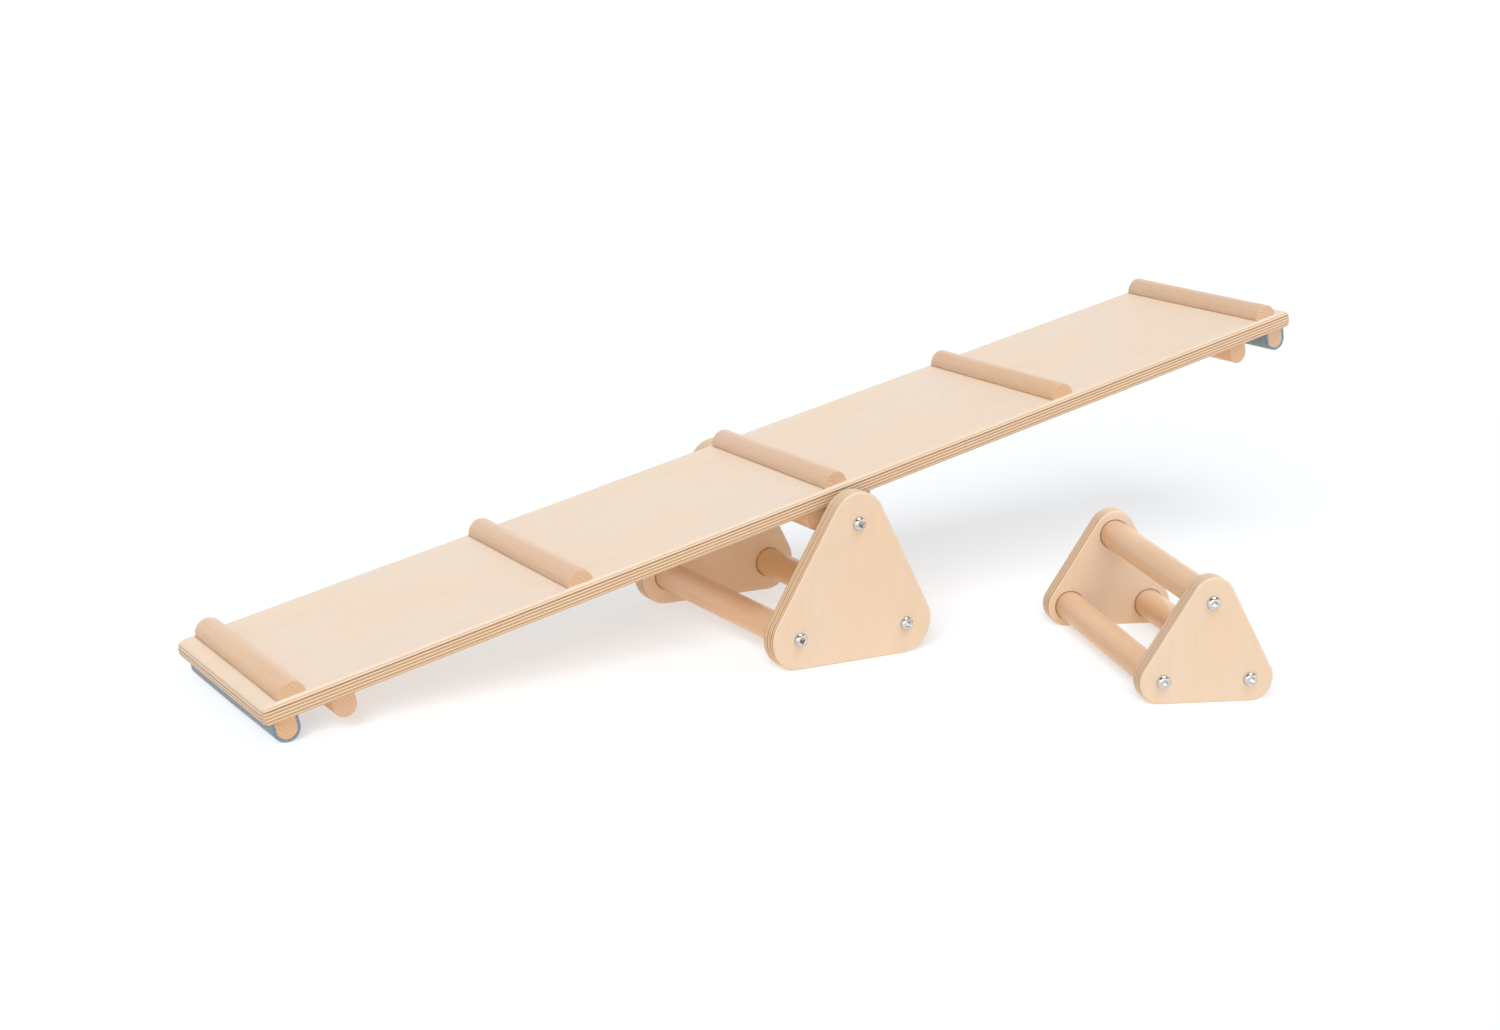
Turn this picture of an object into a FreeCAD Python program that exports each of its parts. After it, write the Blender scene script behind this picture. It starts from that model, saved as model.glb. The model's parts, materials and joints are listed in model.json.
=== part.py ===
import FreeCAD, Part
import math
import os

# A wooden seesaw: a plywood plank that tips on the top dowel of a triangular stand,
# and a lower stand of the same make that stands loose beside it.
# Origin: on the floor, straight under the middle of the pivot dowel. +X runs along the
# plank towards its raised end, +Y runs along the pivot dowel, +Z is up. Millimetres.

os.makedirs("parts", exist_ok=True)

# ---- driving dimensions ----

# plank
plankLength = 1206.0
plankWidth = 218.0
plankThick = 18.0
plankCornerR = 6.0
plankEdgeR = 4.0
plankEndFlat = 1.0

# half-round rungs on top of the plank
rungRadius = 13.5
endRungSetback = 32.0
rungsEachSide = 2
rungInset = 5.0

# bare battens under the plank: straight sides, half-round bottom
battenWidth = 22.0
battenDepth = 20.0
battenInset = 5.0

# felt-wrapped battens under the plank's ends
endBattenWidth = 20.0
endBattenDepth = 19.5
endBattenSetback = 21.0
feltThick = 2.3

# dowels of both stands, and how the plank sits on them
dowelRadius = 15.0
pivotClear = 0.3
cradleClear = 1.0
hookClear = 0.75

# side plates of both stands
plateThick = 18.0
plateEdgeR = 2.0
plankSideGap = 8.0
pocketDepth = 3.0
pocketClear = 0.3

# big stand: three dowels on an equilateral triangle, the plate's corners round about them
bigDowelSpacing = 125.0
bigCornerR = 31.0

# small stand, loose on the floor; its plate's corners stand a little outside its dowels
smallDowelSpacing = 87.0
smallCornerR = 22.0
smallCornerShift = 1.5
smallTurn = -19.8
smallStandX = 273.0
smallStandGap = 2.0

# button-head bolts and the threaded inserts in the dowels' ends
boltRadius = 4.0
boltLength = 30.0
boltHeadRadius = 7.0
boltHeadHeight = 4.4
boltRimHeight = 0.8
boltCrownRadius = 3.4
boltDomeRise = 0.7
boltSocketAcross = 5.0
boltSocketDepth = 2.6
boltHoleClear = 0.25
insertRadius = 6.0
insertLength = 20.0
insertClear = 0.05
insertRunOut = 5.0

# countersunk wood screws
screwRadius = 2.0
screwTipLength = 3.0
screwHeadRadius = 3.8
screwHeadHeight = 2.2
screwClear = 0.05
screwHeadGap = 0.5
screwInset = 48.0
rungScrewLength = 25.0
battenScrewLength = 30.0
battenScrewRecess = 3.0

# ---- sizes and places that follow from them ----

undersideZ = dowelRadius + pivotClear
topZ = undersideZ + plankThick
plankHalf = plankLength / 2
plankEndR = (plankThick - plankEndFlat) / 2
rungPitch = (plankHalf - endRungSetback) / rungsEachSide
endBattenX = plankHalf - endBattenSetback
feltRadius = endBattenWidth / 2 + feltThick
hookSlot = 2 * (dowelRadius + hookClear)
hookBattenX = endBattenX - feltRadius - hookSlot - battenWidth / 2
cradleBattenX = dowelRadius + cradleClear + battenWidth / 2
innerHalf = plankWidth / 2 + plankSideGap
outerHalf = innerHalf + plateThick
dowelHalf = innerHalf + pocketDepth
triangleRise = math.sqrt(3) / 2
pivotHeight = bigCornerR + bigDowelSpacing * triangleRise
smallCornerSpacing = smallDowelSpacing + 2 * smallCornerShift


def tiltOfPlank():
    """Angle in degrees at which the left end batten's felt just meets the floor."""
    centreZ = undersideZ - (endBattenDepth - endBattenWidth / 2)
    reach = math.hypot(endBattenX, centreZ)
    lean = math.atan2(centreZ, endBattenX)
    return math.degrees(math.asin((pivotHeight - feltRadius) / reach) + lean)


tilt = tiltOfPlank()


# ---- helpers ----

def vec(x, y, z):
    return FreeCAD.Vector(x, y, z)


def cylinderAlong(radius, length, start, direction):
    return Part.makeCylinder(radius, length, start, direction)


def prismAlongY(wire, yStart, yEnd):
    """A face in the XZ plane at y = 0, drawn out from yStart to yEnd."""
    face = Part.Face(wire)
    face.translate(vec(0, yStart, 0))
    return face.extrude(vec(0, yEnd - yStart, 0))


def cutAll(body, tools):
    return body.cut(Part.makeCompound(tools))


def onPlank(shape):
    """From the plank's own level frame, with the pivot axis at its origin, to its tipped place."""
    placed = shape.copy()
    placed.rotate(vec(0, 0, 0), vec(0, 1, 0), -tilt)
    placed.translate(vec(0, 0, pivotHeight))
    return placed


def save(node, shapes):
    solid = shapes if isinstance(shapes, Part.Shape) else Part.makeCompound(shapes)
    solid.exportStep(os.path.join("parts", node + ".step"))
    print(node, "solids", len(solid.Solids), "volume", round(solid.Volume, 1))


# ---- screws ----

def screwUp(x, y, headZ, length):
    """Countersunk screw that points up, its flat head face at headZ."""
    head = Part.makeCone(screwHeadRadius, screwRadius, screwHeadHeight, vec(x, y, headZ))
    shankLength = length - screwHeadHeight - screwTipLength
    shank = cylinderAlong(screwRadius, shankLength, vec(x, y, headZ + screwHeadHeight), vec(0, 0, 1))
    tip = Part.makeCone(screwRadius, 0, screwTipLength, vec(x, y, headZ + length - screwTipLength))
    return head.fuse([shank, tip]).removeSplitter()


def screwHole(x, y, headZ, length, entryZ):
    """Room for that screw, open downwards to entryZ."""
    wide = screwHeadRadius + screwClear
    narrow = screwRadius + screwClear
    sink = Part.makeCone(wide, narrow, screwHeadHeight, vec(x, y, headZ))
    bore = cylinderAlong(narrow, length - screwHeadHeight + screwClear,
                         vec(x, y, headZ + screwHeadHeight), vec(0, 0, 1))
    pieces = [bore]
    if entryZ < headZ:
        pieces.append(cylinderAlong(wide, headZ - entryZ, vec(x, y, entryZ), vec(0, 0, 1)))
    return sink.fuse(pieces)


screwYs = [-(plankWidth / 2 - screwInset), plankWidth / 2 - screwInset]


def battenScrewPlaces(x, depth):
    """Two screws up through each of the battens at -x and x: (x, y, headZ, length, entryZ)."""
    bottomZ = undersideZ - depth
    return [(side * x, y, bottomZ + battenScrewRecess, battenScrewLength, bottomZ - 1)
            for side in (-1, 1) for y in screwYs]


def rungScrewX(rungX):
    """Under the rung's middle, or just inboard of the end batten's felt where that is nearer."""
    feltLimit = endBattenX - feltRadius - screwHeadRadius - screwHeadGap
    return math.copysign(min(abs(rungX), feltLimit), rungX)


# ---- plank ----

rungXs = [rungPitch * n for n in range(-rungsEachSide, rungsEachSide + 1)]
rungScrewPlaces = [(rungScrewX(x), y, undersideZ, rungScrewLength, undersideZ)
                   for x in rungXs for y in screwYs]
endScrewPlaces = battenScrewPlaces(endBattenX, endBattenDepth)
hookScrewPlaces = battenScrewPlaces(hookBattenX, battenDepth)
cradleScrewPlaces = battenScrewPlaces(cradleBattenX, battenDepth)
allScrewPlaces = rungScrewPlaces + endScrewPlaces + hookScrewPlaces + cradleScrewPlaces


def plankBoard():
    """Board with nearly half-round short ends, eased long edges and rounded upright corners."""
    box = Part.makeBox(plankLength, plankWidth, plankThick,
                       vec(-plankHalf, -plankWidth / 2, undersideZ))

    def easedAlong(axis, radius):
        return box.makeFillet(radius, [edge for edge in box.Edges
                                       if abs(edge.tangentAt(0).dot(axis)) > 0.99])

    board = easedAlong(vec(0, 0, 1), plankCornerR)
    board = board.common(easedAlong(vec(0, 1, 0), plankEndR))
    board = board.common(easedAlong(vec(1, 0, 0), plankEdgeR))
    return cutAll(board, [screwHole(*place) for place in allScrewPlaces])


def rung(x):
    half = plankWidth / 2 - rungInset
    left, right = vec(x - rungRadius, 0, topZ), vec(x + rungRadius, 0, topZ)
    crown = vec(x, 0, topZ + rungRadius)
    wire = Part.Wire([Part.Arc(left, crown, right).toShape(), Part.makeLine(right, left)])
    holes = [screwHole(*place) for place in rungScrewPlaces if abs(place[0] - x) < rungRadius]
    return cutAll(prismAlongY(wire, -half, half), holes)


def uProfile(x, width, depth):
    """Closed outline with straight sides and a half-round bottom, hung from the plank's underside."""
    radius = width / 2
    springZ = undersideZ - (depth - radius)
    topLeft, topRight = vec(x - radius, 0, undersideZ), vec(x + radius, 0, undersideZ)
    lowLeft, lowRight = vec(x - radius, 0, springZ), vec(x + radius, 0, springZ)
    bottom = vec(x, 0, springZ - radius)
    return Part.Wire([Part.makeLine(topLeft, topRight), Part.makeLine(topRight, lowRight),
                      Part.Arc(lowRight, bottom, lowLeft).toShape(), Part.makeLine(lowLeft, topLeft)])


def batten(x, width, depth, places):
    half = plankWidth / 2 - battenInset
    holes = [screwHole(*place) for place in places if place[0] == x]
    return cutAll(prismAlongY(uProfile(x, width, depth), -half, half), holes)


def feltWrap(x):
    """Felt glued round the sides and bottom of an end batten, flush with its ends."""
    half = plankWidth / 2 - battenInset
    outer = prismAlongY(uProfile(x, 2 * feltRadius, endBattenDepth + feltThick), -half, half)
    return outer.cut(prismAlongY(uProfile(x, endBattenWidth, endBattenDepth), -half - 1, half + 1))


def screws(places):
    return [onPlank(screwUp(x, y, headZ, length)) for x, y, headZ, length, _ in places]


def buildPlank():
    save("plank_board", onPlank(plankBoard()))
    for number, x in enumerate(rungXs, start=1):
        save("rung_%d" % number, onPlank(rung(x)))
    for side, name in ((-1, "left"), (1, "right")):
        save("end_batten_" + name,
             onPlank(batten(side * endBattenX, endBattenWidth, endBattenDepth, endScrewPlaces)))
        save("felt_" + name, onPlank(feltWrap(side * endBattenX)))
        save("hook_batten_" + name,
             onPlank(batten(side * hookBattenX, battenWidth, battenDepth, hookScrewPlaces)))
        save("cradle_batten_" + name,
             onPlank(batten(side * cradleBattenX, battenWidth, battenDepth, cradleScrewPlaces)))
    save("rung_screws", screws(rungScrewPlaces))
    save("end_batten_screws", screws(endScrewPlaces))
    save("hook_batten_screws", screws(hookScrewPlaces))
    save("cradle_batten_screws", screws(cradleScrewPlaces))


# ---- stands ----

def trianglePoints(spacing, base):
    """Corners of an equilateral triangle in XZ: left, right, top."""
    return [(-spacing / 2, base), (spacing / 2, base), (0.0, base + spacing * triangleRise)]


def roundedTriangle(spacing, radius):
    """Outline of a side plate: three equal corner arcs joined by straight tangents, bottom at z = 0."""
    left, right, top = trianglePoints(spacing, radius)

    def rimPoint(centre, angle):
        turn = math.radians(angle)
        return vec(centre[0] + radius * math.cos(turn), 0, centre[1] + radius * math.sin(turn))

    arcs = [[rimPoint(centre, middle + step) for step in (-60, 0, 60)]
            for centre, middle in ((right, -30), (top, 90), (left, 210))]
    edges = []
    for number, (start, middle, end) in enumerate(arcs):
        nextStart = arcs[(number + 1) % len(arcs)][0]
        edges += [Part.Arc(start, middle, end).toShape(), Part.makeLine(end, nextStart)]
    return Part.Wire(edges)


def sidePlate(side, dowels, cornerSpacing, cornerR):
    """Plate on the -Y (side = -1) or +Y (side = 1) end, with pockets and bolt holes at the dowels."""
    inner, outer = side * innerHalf, side * outerHalf
    plate = prismAlongY(roundedTriangle(cornerSpacing, cornerR), min(inner, outer), max(inner, outer))
    rims = [edge for edge in plate.Edges if edge.BoundBox.YLength < 0.001]
    plate = plate.makeFillet(plateEdgeR, rims)
    away = vec(0, side, 0)
    for x, z in dowels:
        pocket = cylinderAlong(dowelRadius + pocketClear, pocketDepth, vec(x, inner, z), away)
        hole = cylinderAlong(boltRadius + boltHoleClear, plateThick, vec(x, inner, z), away)
        plate = plate.cut([pocket, hole])
    return plate


def dowel(x, z):
    """Round rod from pocket floor to pocket floor, bored at both ends for an insert and the bolt's tip."""
    body = cylinderAlong(dowelRadius, 2 * dowelHalf, vec(x, -dowelHalf, z), vec(0, 1, 0))
    boreDepth = insertLength + insertRunOut
    for side in (-1, 1):
        body = body.cut(cylinderAlong(insertRadius + insertClear, boreDepth, vec(x, side * dowelHalf, z),
                                      vec(0, -side, 0)))
    return body


def insertSleeve(side, x, z):
    outer = cylinderAlong(insertRadius, insertLength, vec(x, side * dowelHalf, z), vec(0, -side, 0))
    return outer.cut(cylinderAlong(boltRadius + insertClear, insertLength + 2,
                                   vec(x, side * (dowelHalf + 1), z), vec(0, -side, 0)))


def bolt(side, x, z):
    """Button-head bolt: domed head on the plate's outer face, hexagon socket, plain shank."""
    rim = vec(boltHeadRadius, boltRimHeight, 0)
    crown = vec(boltCrownRadius, boltHeadHeight, 0)
    chord = crown - rim
    outward = vec(chord.y, -chord.x, 0).normalize()
    domeMiddle = (rim + crown) / 2 + outward * boltDomeRise
    corners = [crown, vec(0, boltHeadHeight, 0), vec(0, -boltLength, 0), vec(boltRadius, -boltLength, 0),
               vec(boltRadius, 0, 0), vec(boltHeadRadius, 0, 0), rim]
    profile = Part.Wire([Part.Arc(rim, domeMiddle, crown).toShape()] + Part.makePolygon(corners).Edges)
    body = Part.Face(profile).revolve(vec(0, 0, 0), vec(0, 1, 0), 360)
    acrossCorners = boltSocketAcross / math.cos(math.radians(30))
    ring = [vec(acrossCorners / 2 * math.cos(math.radians(60 * n)), boltHeadHeight - boltSocketDepth,
                acrossCorners / 2 * math.sin(math.radians(60 * n))) for n in range(7)]
    socket = Part.Face(Part.makePolygon(ring)).extrude(vec(0, boltSocketDepth + 1, 0))
    body = body.cut(socket)
    if side < 0:
        body.rotate(vec(0, 0, 0), vec(0, 0, 1), 180)
    body.translate(vec(x, side * outerHalf, z))
    return body


def buildStand(name, topName, dowelSpacing, cornerSpacing, cornerR, place):
    dowels = trianglePoints(dowelSpacing, cornerR)
    left, right, top = dowels
    save(name + "_base_dowel_left", place(dowel(*left)))
    save(name + "_base_dowel_right", place(dowel(*right)))
    save(name + topName, place(dowel(*top)))
    for side, sideName in ((-1, "near"), (1, "far")):
        save(name + "_plate_" + sideName, place(sidePlate(side, dowels, cornerSpacing, cornerR)))
        save(name + "_bolts_" + sideName, [place(bolt(side, x, z)) for x, z in dowels])
        save(name + "_inserts_" + sideName, [place(insertSleeve(side, x, z)) for x, z in dowels])


def onFloorApart(shape):
    """Turns the small stand and sets it down just beyond the plank's near edge."""
    turn = math.radians(abs(smallTurn))
    halfFoot = smallCornerSpacing / 2 + smallCornerR
    reach = outerHalf * math.cos(turn) + halfFoot * math.sin(turn)
    placed = shape.copy()
    placed.rotate(vec(0, 0, 0), vec(0, 0, 1), smallTurn)
    placed.translate(vec(smallStandX, -(plankWidth / 2 + smallStandGap + reach), 0))
    return placed


buildPlank()
buildStand("big", "_pivot_dowel", bigDowelSpacing, bigDowelSpacing, bigCornerR, lambda shape: shape)
buildStand("small", "_top_dowel", smallDowelSpacing, smallCornerSpacing, smallCornerR, onFloorApart)
print("tilt", round(tilt, 3), "pivot height", round(pivotHeight, 3))
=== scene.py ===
import json
import math
import bpy
import bmesh
from mathutils import Matrix, Vector, noise


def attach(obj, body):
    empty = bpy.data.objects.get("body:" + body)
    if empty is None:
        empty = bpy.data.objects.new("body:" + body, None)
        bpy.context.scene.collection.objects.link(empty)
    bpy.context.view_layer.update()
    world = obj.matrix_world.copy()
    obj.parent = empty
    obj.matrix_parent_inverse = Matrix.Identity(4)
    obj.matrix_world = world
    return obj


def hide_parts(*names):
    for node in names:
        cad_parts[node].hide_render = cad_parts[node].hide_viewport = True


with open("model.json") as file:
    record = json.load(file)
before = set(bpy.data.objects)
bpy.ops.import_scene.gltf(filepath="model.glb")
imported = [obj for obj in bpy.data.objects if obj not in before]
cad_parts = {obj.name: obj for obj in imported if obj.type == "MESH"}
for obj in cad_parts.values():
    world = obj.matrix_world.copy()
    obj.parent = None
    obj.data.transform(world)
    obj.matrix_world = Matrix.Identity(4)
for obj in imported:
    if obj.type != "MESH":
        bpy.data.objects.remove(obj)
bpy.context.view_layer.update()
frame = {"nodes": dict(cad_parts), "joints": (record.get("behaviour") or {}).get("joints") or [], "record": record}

mm = 0.001
rim = 0.2 * mm                # the outermost strip of a flat face, which keeps the face's shading flat
overcut = 2 * mm              # how far a drill stands out of the face that it goes through
drillSides = 32
lacquerIor = 1.5
noiseSpan = (0.3, 0.7)        # where most of a noise's values lie
print("frame loaded")

# Each body has a home frame in which it stands level: the plank's is centred on the pivot axis, a stand's
# on the floor midway between its plates. Pieces are drawn in it, and their meshes then go to their places.
joints = {joint["name"]: joint for joint in frame["joints"]}
mounts = {mount["name"]: mount for mount in frame["record"]["mounts"]}
tilt = math.radians(joints["plank_tilt"]["range_deg"][1]) / 2
feet = [Vector(mounts["small_rest_" + end]["pos_m"]) for end in ("near", "far")]
smallTurn = math.atan2(feet[1].x - feet[0].x, feet[1].y - feet[0].y)
homes = {
    "plank": Matrix.Translation(joints["plank_tilt"]["pos_m"]) @ Matrix.Rotation(-tilt, 4, "Y"),
    "big_stand": Matrix.Identity(4),
    "small_stand": Matrix.Translation((feet[0] + feet[1]) / 2) @ Matrix.Rotation(-smallTurn, 4, "Z"),
}


def levelBox(body, node):
    # lowest and highest corner of a CAD node in its body's home frame
    back = homes[body].inverted()
    points = [back @ vertex.co for vertex in frame["nodes"][node].data.vertices]
    return (Vector([min(point[axis] for point in points) for axis in range(3)]),
            Vector([max(point[axis] for point in points) for axis in range(3)]))


def hexColour(text):
    # sRGB hex to the linear colour that shaders take
    shares = [int(text[i:i + 2], 16) / 255 for i in (1, 3, 5)]
    return [c / 12.92 if c <= 0.04045 else ((c + 0.055) / 1.055) ** 2.4 for c in shares] + [1.0]


def addNode(tree, kind, settings=None, inputs=None):
    # an input takes a number, a vector, a hex colour, a socket, or a node whose first output is meant
    node = tree.nodes.new(kind)
    for name, value in (settings or {}).items():
        if name == "stops":
            elements = node.color_ramp.elements
            while len(elements) < len(value):
                elements.new(1.0)
            for element, (position, colour) in zip(elements, value):
                element.position, element.color = position, hexColour(colour)
        elif name == "interpolation":
            node.color_ramp.interpolation = value
        else:
            setattr(node, name, value)
    sockets = [socket for socket in node.inputs if socket.enabled]
    pairs = inputs.items() if isinstance(inputs, dict) else enumerate(inputs or [])
    for key, value in pairs:
        socket = sockets[key] if isinstance(key, int) else next(s for s in sockets if s.name == key)
        if isinstance(value, bpy.types.Node):
            value = next(output for output in value.outputs if output.enabled)
        if isinstance(value, bpy.types.NodeSocket):
            tree.links.new(value, socket)
        elif isinstance(value, str) and value.startswith("#"):
            socket.default_value = hexColour(value)
        else:
            socket.default_value = value
    return node


def newTree(name):
    material = bpy.data.materials.new(name)
    material.use_nodes = True
    material.node_tree.nodes.clear()
    return material, material.node_tree


def homeSpace(tree, body):
    # a point in its body's home frame, in millimetres, and the surface's normal there
    back = homes[body].inverted()
    turn = back.to_euler()
    source = addNode(tree, "ShaderNodeTexCoord")
    place = addNode(tree, "ShaderNodeMapping", inputs={
        "Vector": source.outputs["Object"], "Location": back.to_translation() / mm, "Rotation": turn,
        "Scale": (1 / mm, 1 / mm, 1 / mm)})
    normal = addNode(tree, "ShaderNodeMapping", {"vector_type": "VECTOR"},
                     {"Vector": source.outputs["Normal"], "Rotation": turn})
    size = addNode(tree, "ShaderNodeVectorMath", {"operation": "ABSOLUTE"}, [normal])
    return place, size


def grainScale(axis, size):
    # a texture's scale for features of a size (across, along) fibres that run on an axis, in mm
    scale = [1 / size[0]] * 3
    scale[axis] = 1 / size[1]
    return scale


# Rotary-cut birch plywood, sanded and clear lacquered: nearly even cream faces with a faint long figure,
# and edges where the plies cut across their fibres show as tan bands between pale ones.
plywood = {
    "faceCool": "#EDDBCA",
    "faceWarm": "#EED9C2",
    "faceStreak": "#DDBE96",
    "fleck": "#B98A5C",
    "plySide": "#F2DDC4",
    # what each ply shows where it is cut across its fibres, from the underside or the inner face up; counted
    # from 0, the even ones are cut where the face's grain ends, the odd ones along the sides
    "plankCut": ["#BD9B83", "#AC8968", "#A9856D", "#BC9878", "#A9856D", "#BB9776", "#A58169",
                 "#BA9574", "#A9856D", "#987250", "#A9856D", "#B89576", "#BF9D85"],
    "plateCut": ["#DDBE9C", "#98744F", "#DBBB98", "#C9A886", "#DBBB98", "#98744F", "#DBBB98",
                 "#C9A886", "#DBBB98", "#98744F", "#DBBB98", "#C4A17D", "#DDBE9C"],
    "glue": "#9A7652",
    "glueWidth": 0.16,        # mm
    "glueAmount": 0.40,
    "cutPower": 1.8,          # keeps the plies apart where an edge slants across both fibre directions
    "poreSize": 0.7,          # mm
    "poreShade": (0.8, 1.0),
    "fibreSize": (1.6, 90.0),         # mm across and along the fibres, like the sizes below
    "fibreSpan": (0.35, 0.75),
    "fibreAmount": 0.35,
    "hueSize": (45.0, 160.0),
    "hueSpan": (0.35, 0.65),
    "figureSize": (55.0, 280.0),
    "figureTurn": 60.0,       # radians of the contour lines' wave from the figure's low to its high
    "figureAmount": 0.07,
    "streakAmount": 0.10,
    "fleckSize": (1.4, 9.0),
    "fleckSpan": (0.76, 0.82),        # high in the noise, so that flecks are rare
    "fleckAmount": 0.45,
    "faceFrom": (0.55, 0.85), # where the edge turns into the face, by how squarely it looks that way
    "roughness": (0.38, 0.52),
    "relief": 0.2,
    "reliefDepth": 0.08 * mm,
    "coat": 0.10,
    "coatRoughness": 0.3,
}


def plywoodMaterial(name, body, cuts, thickAxis, grainAxis, start, thickness):
    # start is where the lowest ply begins along the thickness
    cfg = plywood
    material, tree = newTree(name)
    place, normal = homeSpace(tree, body)
    where = addNode(tree, "ShaderNodeSeparateXYZ", inputs=[place]).outputs
    facing = addNode(tree, "ShaderNodeSeparateXYZ", inputs=[normal]).outputs
    crossAxis = 3 - thickAxis - grainAxis
    pitch = thickness / (len(cfg[cuts]) - 1)          # the two outer plies are half as thick

    # plates stand mirrored about the middle, so the distance from it counts; the plank's never turns negative
    depth = addNode(tree, "ShaderNodeMath", {"operation": "ABSOLUTE"}, [where[thickAxis]])
    share = addNode(tree, "ShaderNodeMapRange", inputs=[depth, start, start + thickness])
    edges = [0.0] + [(number - 0.5) * pitch / thickness for number in range(1, len(cfg[cuts]))]
    cut = addNode(tree, "ShaderNodeValToRGB",
                  {"interpolation": "CONSTANT", "stops": list(zip(edges, cfg[cuts]))}, [share])
    count = addNode(tree, "ShaderNodeMath", {"operation": "MULTIPLY_ADD"}, [share, thickness / pitch, 0.5])
    whole = addNode(tree, "ShaderNodeMath", {"operation": "FLOOR"}, [count])
    isCross = addNode(tree, "ShaderNodeMath", {"operation": "MODULO"}, [whole, 2.0])
    joint = addNode(tree, "ShaderNodeMath", {"operation": "PINGPONG"}, [count, 0.5])
    glue = addNode(tree, "ShaderNodeMath", {"operation": "LESS_THAN"}, [joint, cfg["glueWidth"] / pitch / 2])

    # fibres run along the grain in one ply and across it in the next
    stretches = [addNode(tree, "ShaderNodeMapping", inputs={
        "Vector": place, "Scale": grainScale(axis, cfg["fibreSize"])}) for axis in (grainAxis, crossAxis)]
    fibre = addNode(tree, "ShaderNodeMix", {"data_type": "VECTOR"}, [isCross] + stretches)
    streak = addNode(tree, "ShaderNodeTexNoise", inputs={
        "Vector": fibre, "Scale": 1.0, "Detail": 3.0, "Roughness": 0.6})
    speck = addNode(tree, "ShaderNodeTexNoise", inputs={
        "Vector": place, "Scale": 1 / cfg["poreSize"], "Detail": 2.0})
    sideAmount = addNode(tree, "ShaderNodeMapRange",
                         inputs=[streak, *cfg["fibreSpan"], 0.0, cfg["fibreAmount"]])
    side = addNode(tree, "ShaderNodeMix", {"data_type": "RGBA"},
                   [sideAmount, cfg["plySide"], cfg["faceStreak"]])
    across = addNode(tree, "ShaderNodeMix", {"data_type": "FLOAT"},
                     [isCross, facing[grainAxis], facing[crossAxis]])
    openPores = addNode(tree, "ShaderNodeMapRange", inputs=[speck, *noiseSpan, *cfg["poreShade"]])
    crossed = addNode(tree, "ShaderNodeMath", {"operation": "POWER"}, [across, cfg["cutPower"]])
    cutAmount = addNode(tree, "ShaderNodeMath", {"operation": "MULTIPLY", "use_clamp": True},
                        [crossed, openPores])
    edge = addNode(tree, "ShaderNodeMix", {"data_type": "RGBA"}, [cutAmount, side, cut])
    glueAmount = addNode(tree, "ShaderNodeMath", {"operation": "MULTIPLY"}, [glue, cfg["glueAmount"]])
    edge = addNode(tree, "ShaderNodeMix", {"data_type": "RGBA"}, [glueAmount, edge, cfg["glue"]])

    # the face veneer: a slow change of hue, wandering contour lines, fine streaks and a rare brown fleck
    views = [addNode(tree, "ShaderNodeMapping", inputs={
        "Vector": place, "Scale": grainScale(grainAxis, cfg[size])})
        for size in ("hueSize", "figureSize", "fleckSize")]
    hue, bend, spot = [addNode(tree, "ShaderNodeTexNoise", inputs={
        "Vector": view, "Scale": 1.0, "Detail": 2.0}) for view in views]
    hueAmount = addNode(tree, "ShaderNodeMapRange", inputs=[hue, *cfg["hueSpan"]])
    face = addNode(tree, "ShaderNodeMix", {"data_type": "RGBA"},
                   [hueAmount, cfg["faceCool"], cfg["faceWarm"]])
    lines = addNode(tree, "ShaderNodeMath", {"operation": "MULTIPLY"}, [bend, cfg["figureTurn"]])
    wave = addNode(tree, "ShaderNodeMath", {"operation": "SINE"}, [lines])
    figure = addNode(tree, "ShaderNodeMapRange", inputs=[wave, -1.0, 1.0, 0.0, cfg["figureAmount"]])
    veneer = addNode(tree, "ShaderNodeMath", {"operation": "MULTIPLY_ADD"},
                     [streak, cfg["streakAmount"], figure])
    face = addNode(tree, "ShaderNodeMix", {"data_type": "RGBA"}, [veneer, face, cfg["faceStreak"]])
    fleck = addNode(tree, "ShaderNodeMapRange", inputs=[spot, *cfg["fleckSpan"], 0.0, cfg["fleckAmount"]])
    face = addNode(tree, "ShaderNodeMix", {"data_type": "RGBA"}, [fleck, face, cfg["fleck"]])
    isFace = addNode(tree, "ShaderNodeMapRange", inputs=[facing[thickAxis], *cfg["faceFrom"]])
    colour = addNode(tree, "ShaderNodeMix", {"data_type": "RGBA"}, [isFace, edge, face])

    dull = addNode(tree, "ShaderNodeMapRange", inputs=[streak, *noiseSpan, *cfg["roughness"]])
    relief = addNode(tree, "ShaderNodeBump", inputs={
        "Strength": cfg["relief"], "Distance": cfg["reliefDepth"], "Height": streak})
    shader = addNode(tree, "ShaderNodeBsdfPrincipled", inputs={
        "Base Color": colour, "Roughness": dull, "Normal": relief, "IOR": lacquerIor,
        "Coat Weight": cfg["coat"], "Coat Roughness": cfg["coatRoughness"]})
    addNode(tree, "ShaderNodeOutputMaterial", inputs={"Surface": shader})
    return material


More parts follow.
